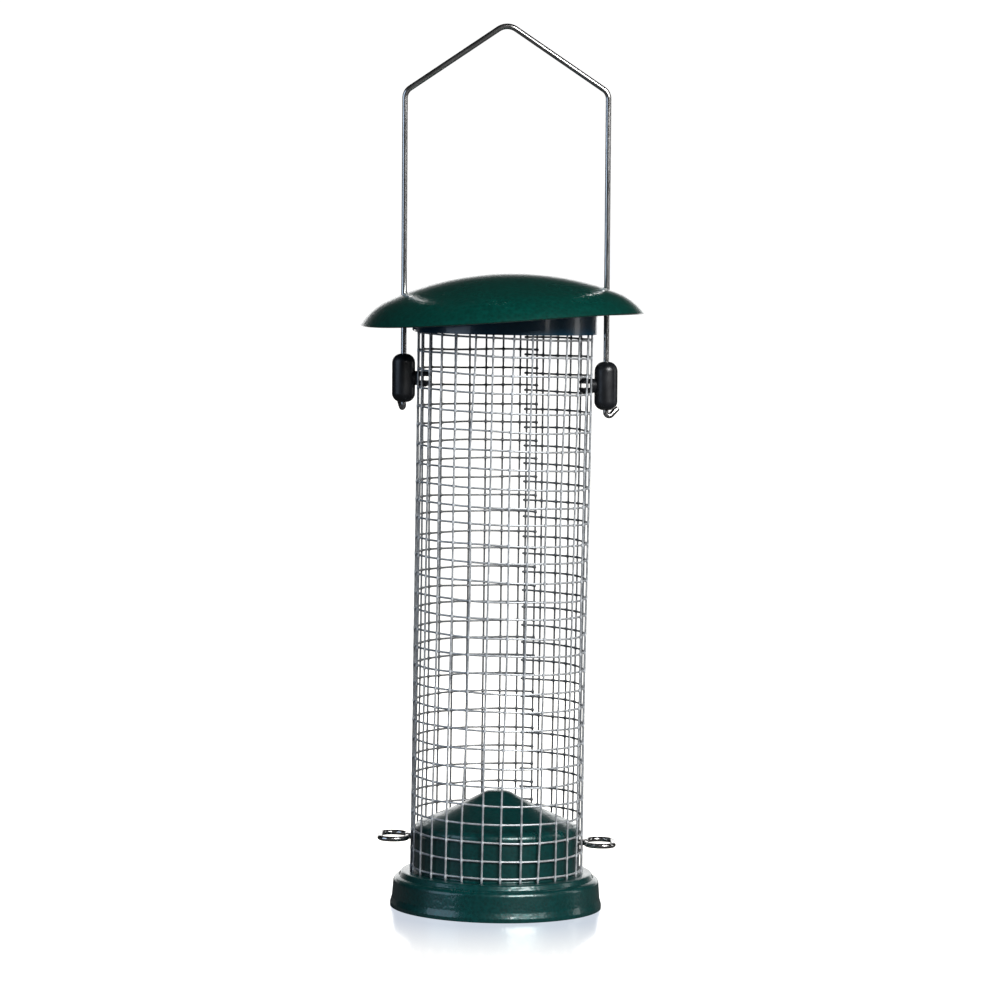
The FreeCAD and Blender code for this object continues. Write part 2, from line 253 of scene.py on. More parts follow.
def bent_path(points, bends, turn_step=math.radians(5)):
    """A run of straight lines whose inner corners are tangent arcs.

    With half the corner's angle h and bend radius r, the arc starts r / tan(h) before the corner
    and its centre lies r / sin(h) along the bisector. Points on it are the two end arms mixed by
    the sines of the angles left and done, over the sine of the whole turn.
    """
    points = np.asarray(points, float)
    laid = [points[:1]]
    for before, corner, after, bend in zip(points[:-2], points[1:-1], points[2:], bends):
        back, ahead = unit(before - corner), unit(after - corner)
        half = math.acos(np.clip(back @ ahead, -1, 1)) / 2
        centre = corner + unit(back + ahead) * bend / math.sin(half)
        start, end = corner + back * bend / math.tan(half), corner + ahead * bend / math.tan(half)
        turn = math.pi - 2 * half
        share = np.linspace(0, 1, max(3, round(turn / turn_step) + 1))[:, None]
        arms = np.sin((1 - share) * turn) * (start - centre) + np.sin(share * turn) * (end - centre)
        laid.append(centre + arms / math.sin(turn))
    laid.append(points[-1:])
    return np.concatenate(laid)


def side_offset(points, distance):
    """A line in the plane moved to its left by a distance, with mitred corners.

    Each corner moves along the sum of its two neighbours' left-hand directions.
    """
    points = np.asarray(points, float)
    run = unit(np.diff(points, axis=0))
    left = np.stack([-run[:, 1], run[:, 0]], axis=1)
    before, after = np.vstack([left[:1], left]), np.vstack([left, left[-1:]])
    mitre = unit(before + after)
    return points + mitre * (distance / np.sum(mitre * after, axis=1, keepdims=True))


def cylinder_point(radius, azimuth, height):
    """Points at a radius, an azimuth from the front towards +X, and a height."""
    x, y = radius * np.sin(azimuth), -radius * np.cos(azimuth)
    return np.stack([x, y, height + 0 * azimuth], axis=-1)


def spun(profile, segments):
    """A profile of radius and height carried round Z."""
    turn = np.linspace(0, TAU, segments, endpoint=False)
    return cylinder_point(profile[:, :1], turn, profile[:, 1:])


# How far out each ring of a rounded wire end lies, and its size, as shares of the wire's radius.
END_RINGS = np.array([[0.5, 0.0], [0.42, 0.6], [0.2, 0.92]])


def tube(path, radius, reference, sides):
    """Rings square to a path, with rounded ends.

    The first arm of a ring is the path's direction crossed with the reference, the second is the
    first crossed with the direction, and a ring is the circle of its radius in those two arms.
    Each end adds the rings in END_RINGS, which shrink to a point.
    """
    path = np.asarray(path, float)
    radius = np.broadcast_to(radius, path.shape[:-1])
    more = len(END_RINGS)
    direction = unit(np.gradient(path, axis=-2))
    first, last = direction[..., :1, :], direction[..., -1:, :]
    reach = radius[..., :1, None] * END_RINGS[:, :1]
    far_reach = radius[..., -1:, None] * END_RINGS[::-1, :1]
    start, stop = path[..., :1, :] - first * reach, path[..., -1:, :] + last * far_reach
    path = np.concatenate([start, path, stop], axis=-2)
    before, after = np.repeat(first, more, -2), np.repeat(last, more, -2)
    direction = np.concatenate([before, direction, after], axis=-2)
    opening, closing = radius[..., :1] * END_RINGS[:, 1], radius[..., -1:] * END_RINGS[::-1, 1]
    radius = np.concatenate([opening, radius, closing], axis=-1)
    arm = unit(np.cross(direction, reference))
    lift = np.cross(arm, direction)
    turn = np.linspace(0, TAU, sides, endpoint=False)[:, None]
    ring = arm[..., None, :] * np.cos(turn) + lift[..., None, :] * np.sin(turn)
    return path[..., None, :] + ring * radius[..., None, None]


def placed(name, data):
    """An object of that data, in the scene."""
    made = bpy.data.objects.new(name, data)
    bpy.context.scene.collection.objects.link(made)
    return made


def skin(name, grid, around=False, tally=None):
    """A mesh object of quads between neighbouring points of grids of rows and columns.

    The columns always close on themselves, and the rows do if around is true. Points that fall
    together, such as a pole, are merged, and faces then turn outwards. A tally is one number per
    row point, kept on the mesh as the attribute "weld".
    """
    grid = np.asarray(grid, float)
    grid = grid.reshape((-1,) + grid.shape[-3:])
    count, rows, columns, _ = grid.shape
    index = np.arange(count * rows * columns).reshape(count, rows, columns)
    if not around:
        here, there = index[:, :-1], index[:, 1:]
    else:
        here, there = index, np.roll(index, -1, axis=1)
    quads = np.stack([here, there, np.roll(there, -1, axis=2), np.roll(here, -1, axis=2)], axis=-1)
    mesh = bpy.data.meshes.new(name)
    mesh.from_pydata(grid.reshape(-1, 3), [], quads.reshape(-1, 4).tolist())
    if tally is not None:
        weld = np.repeat(np.asarray(tally, np.float32).reshape(-1), columns)
        mesh.attributes.new("weld", "FLOAT", "POINT").data.foreach_set("value", weld)
    tidy = bmesh.new()
    tidy.from_mesh(mesh)
    bmesh.ops.remove_doubles(tidy, verts=tidy.verts, dist=1e-8)
    bmesh.ops.recalc_face_normals(tidy, faces=tidy.faces)
    tidy.to_mesh(mesh)
    tidy.free()
    return placed(name, mesh)


def block(name, low, high):
    """A plain box, used only to cut with."""
    corners = np.array([[x, y, z] for x in (0, 1) for y in (0, 1) for z in (0, 1)], float)
    mesh = bpy.data.meshes.new(name)
    sides = [(0, 1, 3, 2), (4, 6, 7, 5), (0, 4, 5, 1), (2, 3, 7, 6), (0, 2, 6, 4), (1, 5, 7, 3)]
    mesh.from_pydata(np.asarray(low) + corners * (np.asarray(high) - np.asarray(low)), [], sides)
    return placed(name, mesh)


def rod(name, start, end, radius, reference, sides=48):
    """A straight bar between two points."""
    return skin(name, tube(np.linspace(start, end, 3), radius, reference, sides))


def combine(piece, operation, others):
    """The piece joined with, or cut by, the others, which are used up."""
    for other in others:
        step = piece.modifiers.new(other.name, "BOOLEAN")
        step.operation = operation
        step.solver = "EXACT"
        step.object = other
    bpy.context.view_layer.update()
    worked = piece.evaluated_get(bpy.context.evaluated_depsgraph_get())
    made = bpy.data.meshes.new_from_object(worked)
    piece.modifiers.clear()
    piece.data = made
    for other in others:
        bpy.data.objects.remove(other)
    return piece


def smooth(piece, sharp_degrees=35):
    """Smooth shading, but for edges sharper than an angle."""
    piece.data.polygons.foreach_set("use_smooth", [True] * len(piece.data.polygons))
    piece.data.set_sharp_from_angle(angle=math.radians(sharp_degrees))
    return piece


def hand_over(piece, node, body, finish):
    """The piece takes its finish, rides on its body and stands for its node."""
    piece.data.materials.clear()
    piece.data.materials.append(finish)
    smooth(piece)
    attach(piece, body)
    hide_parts(node)


# Finishes


def add(tree, kind, inputs=None, **settings):
    """A shader node; an input given as a socket is linked, and anything else is its value."""
    made = tree.nodes.new("ShaderNode" + kind)
    for key, value in settings.items():
        setattr(made, key, value)
    for key, value in (inputs or {}).items():
        if isinstance(value, bpy.types.NodeSocket):
            tree.links.new(value, made.inputs[key])
        else:
            made.inputs[key].default_value = value
    return made


def new_finish(name, **constants):
    """An empty finish: its tree, its shader and its Object coordinates."""
    finish = bpy.data.materials.new(name)
    finish.use_nodes = True
    tree = finish.node_tree
    shader = tree.nodes["Principled BSDF"]
    for key, value in constants.items():
        shader.inputs[key.replace("_", " ")].default_value = value
    place = add(tree, "TexCoord").outputs["Object"]
    return finish, tree, shader, place


def noise(tree, place, scale, detail=2.0, roughness=0.5):
    """Soft noise with that many lumps to the metre."""
    return add(tree, "TexNoise", {"Vector": place, "Scale": scale, "Detail": detail,
                                  "Roughness": roughness}).outputs["Fac"]


def span(tree, value, low, high, to_low, to_high):
    """A value stretched from one range to another, and held at its ends."""
    return add(tree, "MapRange", {"Value": value, "From Min": low, "From Max": high,
                                  "To Min": to_low, "To Max": to_high}).outputs["Result"]


def blended(tree, share, first, second):
    """Two colours mixed by a share."""
    mix = add(tree, "Mix", data_type="RGBA")
    for key, value in ((0, share), (6, first), (7, second)):
        if isinstance(value, bpy.types.NodeSocket):
            tree.links.new(value, mix.inputs[key])
        else:
            mix.inputs[key].default_value = value
    return mix.outputs[2]


def shade_of(rgb, factor):
    """A colour made lighter or darker, with its alpha."""
    return tuple(min(1.0, channel * factor) for channel in rgb) + (1.0,)


def mottled(tree, value, low, high, tint, dark, light):
    """A tint that goes from darker to lighter as a value crosses a range."""
    share = span(tree, value, low, high, 0, 1)
    return blended(tree, share, shade_of(tint, dark), shade_of(tint, light))


def grain(tree, shader, height, strength, depth):
    """A fine bump on the shader."""
    bump = add(tree, "Bump", {"Height": height, "Strength": strength, "Distance": depth})
    tree.links.new(bump.outputs["Normal"], shader.inputs["Normal"])


def hammered_enamel(name, green, cell, depth):
    """Gloss enamel over a cellular, hammered ground with fine metal flecks."""
    finish, tree, shader, place = new_finish(name, Roughness=0.3, Coat_Weight=0.5,
                                             Coat_Roughness=0.07)
    cells = add(tree, "TexVoronoi", {"Vector": place, "Scale": 1 / cell, "Smoothness": 0.7},
                feature="SMOOTH_F1").outputs["Distance"]
    flecks = add(tree, "TexVoronoi", {"Vector": place, "Scale": 4.5 / cell}).outputs["Color"]
    fleck = add(tree, "SeparateColor", {"Color": flecks}).outputs["Red"]
    cloud = noise(tree, place, 60, 3)
    ground = mottled(tree, cells, 0.1, 0.75, green, 0.75, 1.35)
    tone = blended(tree, span(tree, cloud, 0.35, 0.65, 0, 0.35), ground, shade_of(green, 0.7))
    lit = blended(tree, span(tree, fleck, 0.86, 1.0, 0, 0.5), tone, shade_of(green, 3.2))
    tree.links.new(lit, shader.inputs["Base Color"])
    tree.links.new(span(tree, fleck, 0.8, 1.0, 0.2, 0.7), shader.inputs["Metallic"])
    tree.links.new(span(tree, cloud, 0.3, 0.7, 0.25, 0.36), shader.inputs["Roughness"])
    peel = noise(tree, place, 1.6 / cell, 2)
    low = add(tree, "Bump", {"Height": peel, "Strength": 0.5, "Distance": depth * 0.5})
    high = add(tree, "Bump", {"Height": cells, "Strength": 1.0, "Distance": depth,
                              "Normal": low.outputs["Normal"]})
    tree.links.new(high.outputs["Normal"], shader.inputs["Normal"])
    tree.links.new(high.outputs["Normal"], shader.inputs["Coat Normal"])
    return finish


def smooth_enamel(name, blue):
    """Even gloss enamel with a faint orange peel."""
    finish, tree, shader, place = new_finish(name, Roughness=0.32, Coat_Weight=0.35,
                                             Coat_Roughness=0.08)
    cloud = noise(tree, place, 90, 3)
    tree.links.new(mottled(tree, cloud, 0.3, 0.7, blue, 0.85, 1.2), shader.inputs["Base Color"])
    tree.links.new(span(tree, cloud, 0.3, 0.7, 0.27, 0.38), shader.inputs["Roughness"])
    grain(tree, shader, noise(tree, place, 700, 1), 0.4, 0.02 * MM)
    return finish


def galvanised_wire(name, zinc):
    """Dull zinc with grey blotches, brighter on the welds, and painted shade on its inner side."""
    finish, tree, shader, place = new_finish(name, Metallic=0.55, Roughness=0.5)
    blotch = noise(tree, place, 420, 3, 0.6)
    weld = add(tree, "Attribute", attribute_name="weld").outputs["Fac"]
    tone = mottled(tree, blotch, 0.35, 0.65, zinc, 0.7, 1.1)
    spot = blended(tree, span(tree, weld, 0.3, 1, 0, 1), tone, shade_of(zinc, 1.5))
    # Painted shade: the half of each wire that faces the tube's axis is darkened, so the back wires
    # look darker.
    outward = add(tree, "VectorMath", {0: place, 1: (1.0, 1.0, 0.0)}, operation="MULTIPLY")
    outward = add(tree, "VectorMath", {0: outward.outputs[0]}, operation="NORMALIZE")
    facing = add(tree, "NewGeometry").outputs["Normal"]
    side = add(tree, "VectorMath", {0: outward.outputs[0], 1: facing}, operation="DOT_PRODUCT")
    # Painted shade: a darker zinc is blended in where the wire faces the tube's axis.
    inner = span(tree, side.outputs["Value"], -0.25, 0.25, 1, 0)
    lit = blended(tree, inner, spot, shade_of(zinc, 0.42))
    tree.links.new(lit, shader.inputs["Base Color"])
    tree.links.new(span(tree, blotch, 0.3, 0.7, 0.42, 0.58), shader.inputs["Roughness"])
    grain(tree, shader, noise(tree, place, 4000, 2), 0.5, 0.02 * MM)
    return finish


def bright_wire(name, steel):
    """Drawn steel: long faint die marks and a little uneven polish."""
    finish, tree, shader, place = new_finish(name, Metallic=1.0, Roughness=0.2)
    stretched = add(tree, "Mapping", {"Vector": place, "Scale": (1.0, 1.0, 0.04)}).outputs["Vector"]
    marks = noise(tree, stretched, 5000, 2)
    cloud = noise(tree, place, 160, 3)
    tone = mottled(tree, marks, 0.35, 0.65, steel, 0.86, 1.08)
    dull = blended(tree, span(tree, cloud, 0.5, 0.75, 0, 0.4), tone, shade_of(steel, 0.7))
    tree.links.new(dull, shader.inputs["Base Color"])
    tree.links.new(span(tree, cloud, 0.3, 0.7, 0.15, 0.27), shader.inputs["Roughness"])
    grain(tree, shader, marks, 0.25, 0.01 * MM)
    return finish


def moulded_plastic(name, black):
    """Satin black moulding with a fine spark-eroded texture."""
    finish, tree, shader, place = new_finish(name, Roughness=0.36, Specular_IOR_Level=0.5)
    cloud = noise(tree, place, 250, 3)
    tree.links.new(mottled(tree, cloud, 0.3, 0.7, black, 0.7, 1.5), shader.inputs["Base Color"])
    tree.links.new(span(tree, cloud, 0.3, 0.7, 0.3, 0.42), shader.inputs["Roughness"])
    grain(tree, shader, noise(tree, place, 5000, 2), 0.35, 0.02 * MM)
    return finish


def finish_of(name):
    """The finish of that name, made once."""
    if name in bpy.data.materials:
        return bpy.data.materials[name]
    shades = bpy.context.scene.feeder_colours
    makers = {
        "roof_enamel": (hammered_enamel, shades.roof_green, 1.3 * MM, 0.05 * MM),
        "base_enamel": (hammered_enamel, shades.base_green, 1.1 * MM, 0.04 * MM),
        "collar_enamel": (smooth_enamel, shades.collar_blue),
        "mesh_zinc": (galvanised_wire, shades.galvanised),
        "drawn_steel": (bright_wire, shades.bright),
        "plug_plastic": (moulded_plastic, shades.plastic),
    }
    maker, *look = makers[name]
    return maker(name, *look)


# Base, roof and collar


# Bends of the pressing from its shoulder up to the cone's tip. One that bulges outwards is
# positive, and is one sheet tighter on its inner side.
BASE_BENDS = np.array([2.0, -0.5, 0.9, -0.5, 2.4, -14.0, 8.0]) * MM
LIP_BENDS = np.array([1.2, 3.0]) * MM
LEAST_BEND = 0.2 * MM


class FEEDER_OT_base(bpy.types.Operator):
    """Spins the pressed base: skirt, step, ledge, boss wall and cone"""
    bl_idname = "feeder.base"
    bl_label = "Base"

    def execute(self, context):
        s = context.scene.feeder_base
        shelf_height = s.skirt_height + s.shelf_rise
        ledge = shelf_height + s.step_rise
        wall_top = ledge + s.boss_height
        top = BASE_HIGH.z
        skirt = [
            (s.skirt_radius, 0),
            (s.skirt_radius - s.skirt_draft, s.skirt_height),
            (s.shelf_radius, shelf_height),
            (s.shelf_radius - s.step_width, ledge),
            (s.boss_radius, ledge),
            (s.boss_radius, wall_top),
            (s.knee_radius, wall_top + s.knee_rise),
            (s.tip_radius, top),
            (0, top),
        ]
        foot = BASE_HIGH.x
        lip = [(foot, 0), (foot, s.lip_height), (s.skirt_radius, s.lip_height + s.lip_flare)]
        inner_bends = np.maximum(LEAST_BEND, np.abs(BASE_BENDS) - np.sign(BASE_BENDS) * s.sheet)
        outside = bent_path(lip + skirt[1:], np.concatenate([LIP_BENDS, np.abs(BASE_BENDS)]))
        under = side_offset(skirt, s.sheet)
        under[0, 1] = 0
        under[-1, 0] = 0
        inside = bent_path(under, inner_bends)[::-1]
        profile = np.concatenate([outside, inside])
        piece = skin("base_tray_enamelled", spun(profile, 256), around=True)
        combine(piece, "DIFFERENCE", [perch_hole(side) for side in SIDES])
        hand_over(piece, "base_tray", "cage", finish_of("base_enamel"))
        return {"FINISHED"}


def perch_hole(side):
    """Cutter for the oblong hole in the boss wall: two rods and the slab between them."""
    s, perch = bpy.context.scene.feeder_base, bpy.context.scene.feeder_perches
    sign = SIDES[side]
    low, high = PERCHES[side]
    height = (low.z + high.z) / 2
    half = perch.wire / 2 + perch.hole_clearance
    flat = (perch.wire + perch.leg_gap) / 2
    start, end = sign * (s.boss_radius - 3 * s.sheet), sign * (s.boss_radius + 2 * s.sheet)
    ends = [rod("hole", (start, y, height), (end, y, height), half, UP) for y in (-flat, flat)]
    near, far = sorted([start, end])
    slab = block("slab", (near, -flat, height - half), (far, flat, height + half))
    return combine(slab, "UNION", ends)


class FEEDER_OT_roof(bpy.types.Operator):
    """Spins the roof dome, tilts it and pierces it for the bail"""
    bl_idname = "feeder.roof"
    bl_label = "Roof"

    def execute(self, context):
        s = context.scene.feeder_roof
        bail = context.scene.feeder_bail
        grid = spun(self.profile(s), 256)
        # The edge is bent: the height changes by the product of x and y over the radius squared.
        reach = np.max(grid[..., 0])
        grid[..., 2] -= 2 * s.twist * grid[..., 0] * grid[..., 1] / reach ** 2
        turn = np.array(Matrix.Rotation(-s.tilt, 3, "Y"))
        grid = grid @ turn.T + np.array([s.shift, 0, s.rim_height])
        piece = skin("roof_enamelled", grid, around=True)
        hole = bail.wire / 2 + s.hole_clearance
        cutters = []
        for sign in SIDES.values():
            x = sign * bail.spread / 2
            ends = leaned(np.array([(x, 0, ROOF_LOW.z), (x, 0, 2 * ROOF_HIGH.z - ROOF_LOW.z)]))
            cutters.append(rod("hole", *ends, hole, BACK))
        combine(piece, "DIFFERENCE", cutters)
        hand_over(piece, "roof", "roof", finish_of("roof_enamel"))
        return {"FINISHED"}

    @staticmethod
    def profile(s):
        """Outside and inside of the dome, its rim's middle at height nought.

        The crown is an arc about a centre below, the brow a tighter arc that starts tangent to it,
        and the inside is both arcs with a sheet off their radii.
        """
        join = math.asin(s.crown_reach / s.crown_radius)
        crown = np.linspace(0, join, 60)
        brow = np.linspace(join, s.brow_end, 32)[1:]
        middle = np.array([math.sin(join), math.cos(join)]) * (s.crown_radius - s.brow_radius)

        def ray(slope):
            return np.stack([np.sin(slope), np.cos(slope)], axis=1)

        def dome(depth):
            return np.concatenate([ray(crown) * (s.crown_radius - depth),
                                   middle + ray(brow) * (s.brow_radius - depth)])

        outside, inside = dome(0), dome(s.sheet)
        rim = (outside[-1] + inside[-1]) / 2
        along = unit(outside[-1] - outside[-2])
        half = np.linspace(-0.8, 0.8, 5)[:, None] * math.pi / 2
        edge = rim + (outside[-1] - rim) * -np.sin(half) + along * np.cos(half) * s.edge_round
        outline = np.concatenate([outside[:-1], edge, inside[-2::-1]])
        return outline - [0, rim[1]]


class FEEDER_OT_collar(bpy.types.Operator):
    """Bends the strip round the top of the mesh and laps its ends on the left"""
    bl_idname = "feeder.collar"
    bl_label = "Collar"

    def execute(self, context):
        s = context.scene.feeder_collar
        outer = COLLAR_HIGH.x
        low, top = COLLAR_LOW.z, COLLAR_HIGH.z
        section = bent_path([(outer, low), (outer, top), (outer - s.lip, top)], [s.bend])
        inner = side_offset(section, s.sheet)
        loop = np.concatenate([section, inner[::-1]])
        turn = np.linspace(-TAU / 4 - s.lap / 2, 3 * TAU / 4 + s.lap / 2, 300)
        grid = self.wound(loop, turn, s)
        piece = skin("collar_strip", grid)
        caps = bmesh.new()
        caps.from_mesh(piece.data)
        bmesh.ops.holes_fill(caps, edges=caps.edges)
        bmesh.ops.recalc_face_normals(caps, faces=caps.faces)
        caps.to_mesh(piece.data)
        caps.free()
        hand_over(piece, "collar_band", "cage", finish_of("collar_enamel"))
        return {"FINISHED"}

    @staticmethod
    def wound(loop, turn, s):
        """The section carried round Z, stepping out over its own start at the end.

        The step is a smooth ramp from nought to a sheet and a hair's gap, three times its share
        squared less twice its cube, and the lower corner of the free end rises by the notch along
        a shorter ramp at the very end.
        """
        ramp, notch_ramp, gap, top_lift = 0.12, 0.08, 0.02 * MM, 0.05 * MM
        lap_start = turn[-1] - s.lap
        step = np.clip((turn - lap_start + ramp) / ramp, 0, 1)
        out = (s.sheet + gap) * step * step * (3 - 2 * step)
        radius = loop[None, :, 0] + out[:, None]
        height = np.broadcast_to(loop[None, :, 1], radius.shape).copy()
        bottom = loop[:, 1] < COLLAR_LOW.z + s.sheet / 8
        rise = s.lap_notch * np.clip((turn - lap_start) / notch_ramp, 0, 1)
        height[:, bottom] += rise[:, None]
        lifted = height + top_lift * step[:, None]
        return cylinder_point(radius, turn[:, None], lifted)


# Mesh


class Weave:
    """Where the wires of the mesh run, as arrays over rows and uprights."""

    def __init__(self, s):
        self.s = s
        draw = np.random.default_rng(31)
        front_pitch = math.pi / s.front_cells
        side = math.pi / 2 + front_pitch / 2
        front = side - front_pitch * np.arange(s.front_cells + 2)
        back_pitch = (TAU + s.lap - 2 * side) / (s.right_cells + s.left_cells)
        right = side + back_pitch * np.arange(s.right_cells, 0, -1)
        left = -side - back_pitch * np.arange(1, s.left_cells + 1)
        self.azimuths = np.concatenate([right, front, left])
        self.centre = MESH_HIGH.x - s.wire / 2
        self.hoop_radius = self.centre - s.wire + s.weld_sink
        self.low = MESH_LOW.z
        self.span = (s.rows - 1) * s.row_pitch
        count = len(self.azimuths)
        self.wires, self.rows = np.arange(count), np.arange(s.rows)
        self.even_heights = self.low + s.first_row + self.rows * s.row_pitch
        self.sway = draw.normal(0, s.wire_waviness, count)
        self.beat = draw.uniform(0.4, 1.6, (2, count))
        self.phase = draw.uniform(0, TAU, (2, count))
        self.row_error = draw.normal(0, s.row_unevenness, s.rows)
        self.row_phase = draw.uniform(0, TAU, (2, s.rows))
        self.row_wave = draw.uniform(0.04, 0.16, (2, s.rows)) * MM

    def turned(self, azimuth, height, wire):
        """Azimuth of an upright at a height: its place, the sheet's twist and two slow waves."""
        s = self.s
        share = (height - self.low) / self.span
        twist = s.twist_low + (s.twist_high - s.twist_low) * share
        wave = (np.sin(TAU * self.beat[0, wire] * share + self.phase[0, wire])
                + 0.5 * np.sin(TAU * 2.3 * self.beat[1, wire] * share + self.phase[1, wire]))
        ease = np.clip(np.cos(azimuth / 2) ** 2 * 2, 0.25, 1)
        return azimuth + twist + self.sway[wire] * wave * ease

    def row_height(self, row, azimuth):
        """Height of a hoop: its row, error and slope, the drop into the seam and a wave."""
        s = self.s
        side = np.sin(azimuth)
        slope = (s.slope_low + (s.slope_high - s.slope_low) * np.minimum(row / s.slope_row, 1)) / 2
        height = self.low + s.first_row + row * s.row_pitch + self.row_error[row] - slope * side
        past = np.clip(np.abs(azimuth) - math.pi / 2, 0, None) / (math.pi / 2)
        seam = s.lap_step / 2 * np.clip(past, 0, 1.2) ** 2 * -np.sign(azimuth)
        wave = (self.row_wave[0, row] * np.sin(2 * azimuth + self.row_phase[0, row])
                + self.row_wave[1, row] * np.sin(5 * azimuth + self.row_phase[1, row]))
        return height + seam + wave

    def dent(self, azimuth, height):
        """Radial error of the tube: two slow waves round it and along it."""
        share = (height - self.low) / self.span
        flare = self.s.flare * np.clip(share * 1.6 - 0.6, 0, 1)
        waves = 0.10 * np.sin(2 * azimuth + 5 * share) + 0.07 * np.sin(5 * azimuth - 9 * share)
        return waves * MM + flare

    def swell(self, places, welds, scale=1):
        """A bell curve of the scaled distance from places on wires to their nearest weld."""
        distance = np.min(np.abs(places[:, :, None] - welds[:, None, :]), axis=2) * scale
        return np.exp(-(distance / self.s.weld_reach) ** 2)


def with_ends(swell):
    """The swelling along each wire, with nought on the rings of its rounded ends."""
    return np.pad(swell, ((0, 0), (len(END_RINGS), len(END_RINGS))))


# Shares of a cell at which a wire is sampled, close together round the weld, and how many of
# them lie past the first or the last weld.
CELL_STEPS = np.array([-0.36, -0.2, -0.11, -0.05, 0.0, 0.05, 0.11, 0.2, 0.36])
SPARE = len(CELL_STEPS) // 2
WIRE_SIDES = 8


class FEEDER_OT_uprights(bpy.types.Operator):
    """Lays the upright wires of the mesh, with their short free ends"""
    bl_idname = "feeder.uprights"
    bl_label = "Upright wires"

    def execute(self, context):
        s = context.scene.feeder_mesh
        weave = Weave(s)
        starts, wires = weave.azimuths[:, None], weave.wires[:, None]
        azimuth = weave.turned(starts, weave.even_heights, wires)
        crossing = weave.row_height(weave.rows[None, :], azimuth)
        height = (crossing[:, :, None] + CELL_STEPS * s.row_pitch).reshape(len(wires), -1)
        inner = height[:, SPARE:-SPARE]
        low = np.full((len(wires), 1), MESH_LOW.z)
        high = np.full((len(wires), 1), MESH_HIGH.z)
        height = np.concatenate([low, inner, high], axis=1)
        swell = weave.swell(height, crossing)
        azimuth = weave.turned(starts, height, wires)
        radius = weave.centre + weave.dent(azimuth, height)
        path = cylinder_point(radius, azimuth, height)
        grid = tube(path, s.wire / 2 * (1 + s.weld_swell * swell), ACROSS + 0.3 * BACK, WIRE_SIDES)
        piece = skin("mesh_uprights", grid, tally=with_ends(swell))
        hand_over(piece, "mesh_upright_wires", "cage", finish_of("mesh_zinc"))
        return {"FINISHED"}


class FEEDER_OT_hoops(bpy.types.Operator):
    """Lays the hoops inside the uprights, open at the seam"""
    bl_idname = "feeder.hoops"
    bl_label = "Hoop wires"

    def execute(self, context):
        s = context.scene.feeder_mesh
        weave = Weave(s)
        crossing = weave.turned(weave.azimuths, weave.even_heights[:, None], weave.wires)
        pitch = math.pi / s.front_cells
        azimuth = (crossing[:, :, None] - CELL_STEPS * pitch).reshape(s.rows, -1)
        azimuth = azimuth[:, SPARE:-SPARE]
        tail = s.wire / weave.hoop_radius
        azimuth = np.concatenate([azimuth[:, :1] + tail, azimuth, azimuth[:, -1:] - tail], axis=1)
        swell = weave.swell(azimuth, crossing, weave.hoop_radius)
        height = weave.row_height(weave.rows[:, None], azimuth)
        radius = weave.hoop_radius + weave.dent(azimuth, height)
        path = cylinder_point(radius, azimuth, height)
        grid = tube(path, s.wire / 2 * (1 + s.weld_swell * swell), UP, WIRE_SIDES)
        piece = skin("mesh_hoops", grid, tally=with_ends(swell))
        hand_over(piece, "mesh_hoop_wires", "cage", finish_of("mesh_zinc"))
        return {"FINISHED"}


# Wires and plugs


def leaned(points):
    """Points turned to the left about the middle of the pivot, as the bail stands."""
    pivot = np.array([0, 0, sum(end.z for ends in PLUGS.values() for end in ends) / 4])
    turn = np.array(Matrix.Rotation(-bpy.context.scene.feeder_bail.lean, 3, "Y"))
    return (points - pivot) @ turn.T + pivot


class FEEDER_OT_perches(bpy.types.Operator):
    """Bends the two perch eyes"""
    bl_idname = "feeder.perches"
    bl_label = "Perches"

    def execute(self, context):
        s, base = context.scene.feeder_perches, context.scene.feeder_base
        for side, sign in SIDES.items():
            low, high = PERCHES[side]
            leg = (s.wire + s.leg_gap) / 2
            near = MESH_HIGH.x + s.stand_off + s.wire / 2
            far = max(abs(low.x), abs(high.x)) - s.wire / 2
            neck = base.boss_radius - base.sheet - s.splay_gap
            half = [
                (neck - s.splay_reach, leg + s.splay),
                (neck, leg),
                (near, leg),
                (near, high.y - s.wire / 2),
                (far, high.y - s.wire / 2),
            ]
            outline = half + [(x, -y) for x, y in reversed(half)]
            points = [(sign * x, sign * y, (low.z + high.z) / 2) for x, y in outline]
            bends = [s.splay_bend, s.neck_bend, s.inner_bend, s.outer_bend]
            path = bent_path(points, bends + bends[::-1], math.radians(4))
            piece = skin("perch_eye_" + side, tube(path, s.wire / 2, UP, 24))
            hand_over(piece, "perch_ring_" + side, "cage", finish_of("drawn_steel"))
        return {"FINISHED"}


class FEEDER_OT_bail(bpy.types.Operator):
    """Bends the bail: hooks, legs, shoulders, slopes and apex"""
    bl_idname = "feeder.bail"
    bl_label = "Bail"

    def execute(self, context):
        s = context.scene.feeder_bail
        leg = s.spread / 2
        apex = s.top - s.wire / 2 + s.apex_bend * (1 / math.cos(s.slope) - 1)
        drop = leg * math.sin(s.lean)
        shoulder = apex - leg * math.tan(s.slope)
        hook_turn = s.hook_bend * math.tan(s.hook_turn / 2)
        # Which way each hook points, from where it turns back up.
        tails = {"left": (-0.25, 0.66, 0.71), "right": (0.68, 0.2, 0.71)}
        halves = {}
        for side, sign in SIDES.items():
            low = PLUGS[side][0].z - sign * drop - s.hook_gap - hook_turn
            foot = np.array([sign * leg, 0, low])
            tail = foot + unit(np.array(tails[side])) * (hook_turn + s.hook_tail)
            halves[side] = [tail, foot, np.array([sign * leg, 0, shoulder])]
        points = halves["left"] + [np.array([0, 0, apex])] + halves["right"][::-1]
        bends = [s.hook_bend, s.shoulder_bend, s.apex_bend, s.shoulder_bend, s.hook_bend]
        path = leaned(bent_path(points, bends, math.radians(4)))
        piece = skin("bail_bent", tube(path, s.wire / 2, BACK + 0.02 * ACROSS, 32))
        hand_over(piece, "bail_wire", "bail", finish_of("drawn_steel"))
        return {"FINISHED"}


